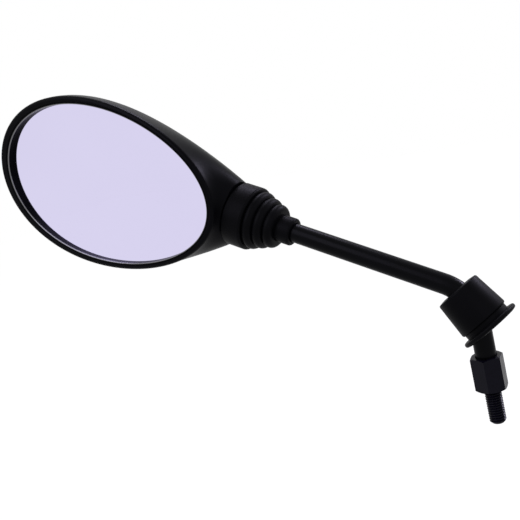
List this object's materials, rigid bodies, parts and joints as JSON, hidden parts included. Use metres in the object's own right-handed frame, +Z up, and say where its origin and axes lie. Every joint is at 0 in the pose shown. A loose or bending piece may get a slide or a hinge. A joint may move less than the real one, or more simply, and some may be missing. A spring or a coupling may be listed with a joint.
{
  "type": "motorcycle mirror",
  "caption": "Motorcycle mirror: convex egg-shaped glass in a moulded head on a ball joint, a bellows boot, and a bent threaded stem with lock nut and dust cap.",
  "frame": {"origin": "on the thread axis, where the free thread meets the lower face of the lock nut", "axes": "+Z up the thread, the stem leans towards -X, the glass faces -Y"},
  "size_m": [0.2849, 0.0409, 0.1998],
  "materials": {
    "stem_paint": "satin black paint",
    "ball_steel": "turned and greased",
    "nut_plate": "black plated",
    "cap_rubber": "moulded, satin",
    "boot_rubber": "moulded, satin",
    "housing_plastic": "satin moulded",
    "bezel_plastic": "glossy moulded",
    "glass_mirror": "convex mirror",
    "pad_foam": "foam rubber",
    "backing_plastic": "plain moulded",
    "seat_nylon": "natural nylon",
    "clamp_steel": "zinc plated"
  },
  "bodies": {
    "stem": {"stem": "stem_paint", "stem_ball": "ball_steel"},
    "lock_nut": {"lock_nut": "nut_plate"},
    "dust_cap": {"dust_cap": "cap_rubber"},
    "rear_seat": {"rear_seat": "seat_nylon", "boot": "boot_rubber"},
    "front_seat": {"front_seat": "seat_nylon"},
    "head": {"mirror_housing": "housing_plastic", "bezel_ring": "bezel_plastic", "mirror_glass": "glass_mirror", "glass_pad": "pad_foam", "backing_plate": "backing_plastic", "clamp_plate": "clamp_steel", "clamp_screws": "clamp_steel", "screw_washers": "clamp_steel"}
  },
  "joints": [
    {"name": "nut_turn", "type": "hinge", "parent": "stem", "child": "lock_nut", "pos_m": [0, 0, 0], "axis": [0, 0, 1], "continuous": true},
    {"name": "cap_slide", "type": "hinge", "parent": "stem", "child": "dust_cap", "pos_m": [-0.023, 0, 0.0322], "axis": [0, 1, 0], "range_deg": [0, 35]},
    {"name": "head_twist", "type": "hinge", "parent": "stem", "child": "rear_seat", "pos_m": [-0.13457, 0, 0.10604], "axis": [-0.9164, 0, 0.4003], "continuous": true},
    {"name": "head_roll", "type": "hinge", "parent": "rear_seat", "child": "front_seat", "pos_m": [-0.13457, 0, 0.10604], "axis": [0, 1, 0], "range_deg": [-8, 8], "deforming": ["boot"]},
    {"name": "head_pan", "type": "hinge", "parent": "front_seat", "child": "head", "pos_m": [-0.13457, 0, 0.10604], "axis": [0.4003, 0, 0.9164], "range_deg": [-12, 12], "deforming": ["boot"]}
  ]
}
